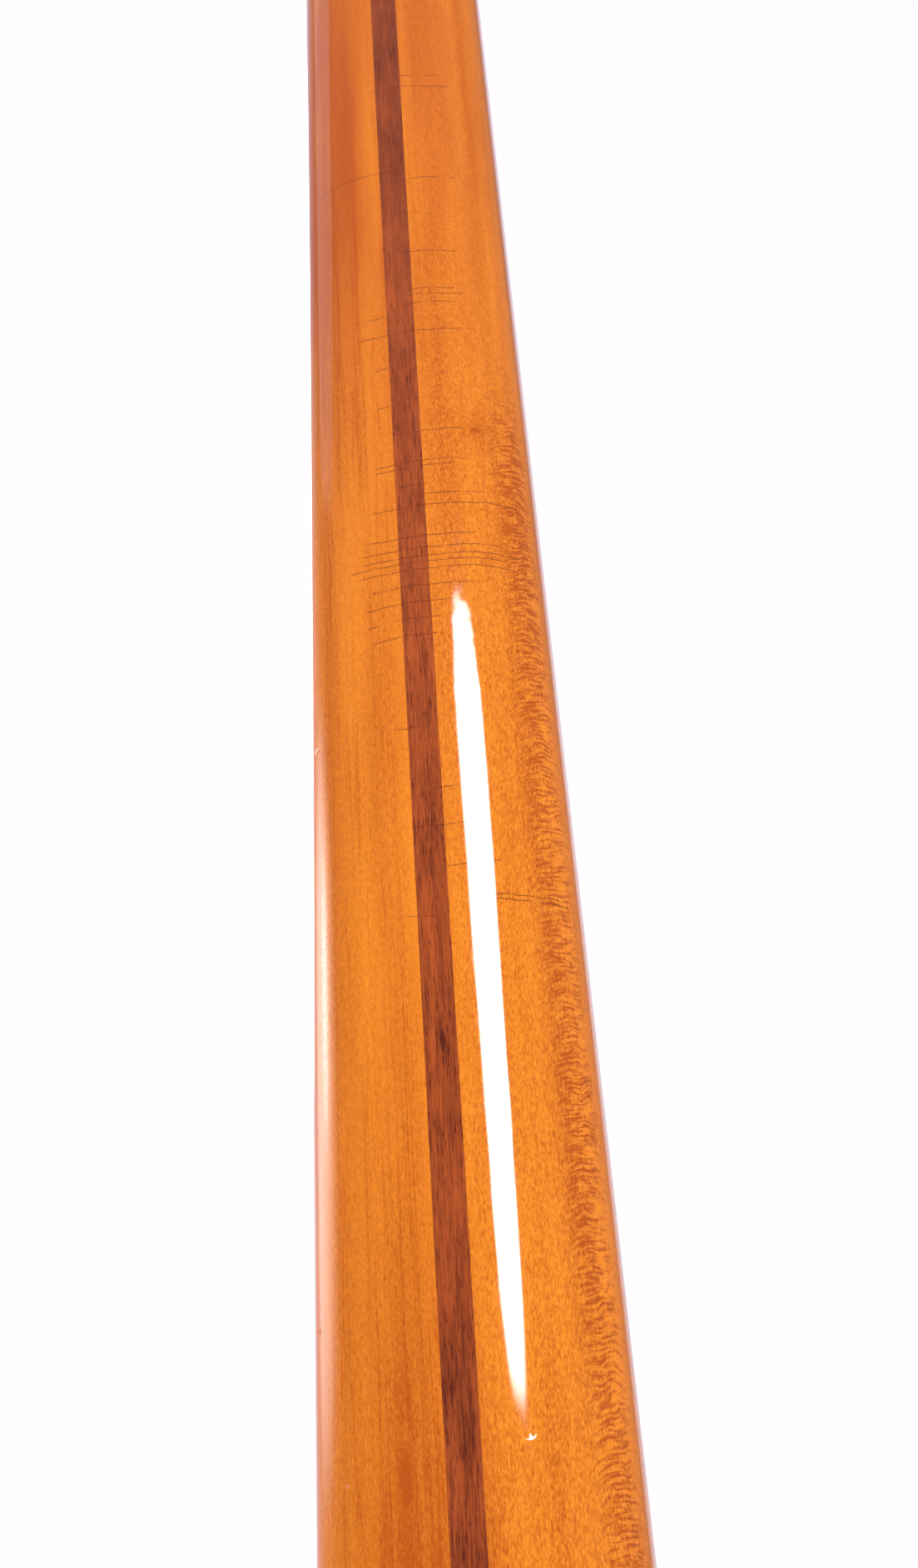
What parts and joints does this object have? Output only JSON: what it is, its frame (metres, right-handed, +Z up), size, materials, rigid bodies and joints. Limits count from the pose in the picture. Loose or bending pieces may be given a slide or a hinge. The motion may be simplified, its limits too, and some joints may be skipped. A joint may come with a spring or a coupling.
{
  "type": "electric bass guitar neck",
  "caption": "Bolt-on bass guitar neck with a rounded lacquered back, inlaid centre stripe, fretted board, adjustable truss rod and geared tuners in line on the headstock.",
  "frame": {"origin": "centre of the four heel screw holes, on the flat back of the heel", "axes": "+Z up the neck towards the headstock, -Y out of the rounded back, +Y out of the fingerboard, +X towards the low-string side"},
  "size_m": [0.0953, 0.0428, 0.8251],
  "materials": {
    "maple_neck": "clear gloss lacquer over flame-flecked maple",
    "maple_board": "clear gloss lacquer over maple",
    "walnut": "clear gloss lacquer over open-pored walnut",
    "rod_steel": "plain drawn steel",
    "bone": "polished bone",
    "black_dot": "black, flush under the lacquer",
    "nickel": "polished nickel plate",
    "fret_wire": "polished nickel silver",
    "gear_brass": "machined brass"
  },
  "bodies": {
    "neck": {"neck_blank": "maple_neck", "centre_stripe": "walnut", "headstock_plug": "walnut", "fingerboard": "maple_board", "truss_rod": "rod_steel", "truss_rod_anchor": "rod_steel", "truss_rod_washer": "rod_steel", "string_nut": "bone", "face_dots": "black_dot", "side_dots": "black_dot", "fret_01": "fret_wire", "fret_02": "fret_wire", "fret_03": "fret_wire", "fret_04": "fret_wire", "fret_05": "fret_wire", "fret_06": "fret_wire", "fret_07": "fret_wire", "fret_08": "fret_wire", "fret_09": "fret_wire", "fret_10": "fret_wire", "fret_11": "fret_wire", "fret_12": "fret_wire", "fret_13": "fret_wire", "fret_14": "fret_wire", "fret_15": "fret_wire", "fret_16": "fret_wire", "fret_17": "fret_wire", "fret_18": "fret_wire", "fret_19": "fret_wire", "fret_20": "fret_wire", "tuner_bushings": "nickel", "tuner_plate_screws": "nickel", "string_tree": "nickel", "string_tree_screw": "nickel", "tuner_1_plate": "nickel", "tuner_2_plate": "nickel", "tuner_3_plate": "nickel", "tuner_4_plate": "nickel"},
    "truss_nut": {"truss_rod_nut": "rod_steel"},
    "tuner_1_key": {"tuner_1_worm_shaft": "nickel", "tuner_1_button": "nickel"},
    "tuner_1_spindle": {"tuner_1_gear": "gear_brass", "tuner_1_post": "nickel", "tuner_1_gear_screw": "nickel"},
    "tuner_2_key": {"tuner_2_worm_shaft": "nickel", "tuner_2_button": "nickel"},
    "tuner_2_spindle": {"tuner_2_gear": "gear_brass", "tuner_2_post": "nickel", "tuner_2_gear_screw": "nickel"},
    "tuner_3_key": {"tuner_3_worm_shaft": "nickel", "tuner_3_button": "nickel"},
    "tuner_3_spindle": {"tuner_3_gear": "gear_brass", "tuner_3_post": "nickel", "tuner_3_gear_screw": "nickel"},
    "tuner_4_key": {"tuner_4_worm_shaft": "nickel", "tuner_4_button": "nickel"},
    "tuner_4_spindle": {"tuner_4_gear": "gear_brass", "tuner_4_post": "nickel", "tuner_4_gear_screw": "nickel"}
  },
  "joints": [
    {"name": "truss_nut_turn", "type": "hinge", "parent": "neck", "child": "truss_nut", "pos_m": [0, 0.0125, -0.0381], "axis": [0, -0.0214, 0.9998], "range_deg": [-360, 360]},
    {"name": "tuner_1_key_turn", "type": "hinge", "parent": "neck", "child": "tuner_1_key", "pos_m": [0.01779, -0.008, 0.63896], "axis": [0.9781, 0, 0.2079], "continuous": true},
    {"name": "tuner_1_spindle_turn", "type": "hinge", "parent": "neck", "child": "tuner_1_spindle", "pos_m": [0.0206, -0.0006, 0.62576], "axis": [0, 1, 0], "continuous": true},
    {"name": "tuner_2_key_turn", "type": "hinge", "parent": "neck", "child": "tuner_2_key", "pos_m": [0.00864, -0.008, 0.682], "axis": [0.9781, 0, 0.2079], "continuous": true},
    {"name": "tuner_2_spindle_turn", "type": "hinge", "parent": "neck", "child": "tuner_2_spindle", "pos_m": [0.01145, -0.0006, 0.6688], "axis": [0, 1, 0], "continuous": true},
    {"name": "tuner_3_key_turn", "type": "hinge", "parent": "neck", "child": "tuner_3_key", "pos_m": [-0.0005, -0.008, 0.72504], "axis": [0.9781, 0, 0.2079], "continuous": true},
    {"name": "tuner_3_spindle_turn", "type": "hinge", "parent": "neck", "child": "tuner_3_spindle", "pos_m": [0.0023, -0.0006, 0.71183], "axis": [0, 1, 0], "continuous": true},
    {"name": "tuner_4_key_turn", "type": "hinge", "parent": "neck", "child": "tuner_4_key", "pos_m": [-0.00965, -0.008, 0.76808], "axis": [0.9781, 0, 0.2079], "continuous": true},
    {"name": "tuner_4_spindle_turn", "type": "hinge", "parent": "neck", "child": "tuner_4_spindle", "pos_m": [-0.00684, -0.0006, 0.75487], "axis": [0, 1, 0], "continuous": true}
  ],
  "couplings": [
    {"joint": "tuner_1_spindle_turn", "follows": "tuner_1_key_turn", "ratio": -0.05},
    {"joint": "tuner_2_spindle_turn", "follows": "tuner_2_key_turn", "ratio": -0.05},
    {"joint": "tuner_3_spindle_turn", "follows": "tuner_3_key_turn", "ratio": -0.05},
    {"joint": "tuner_4_spindle_turn", "follows": "tuner_4_key_turn", "ratio": -0.05}
  ]
}
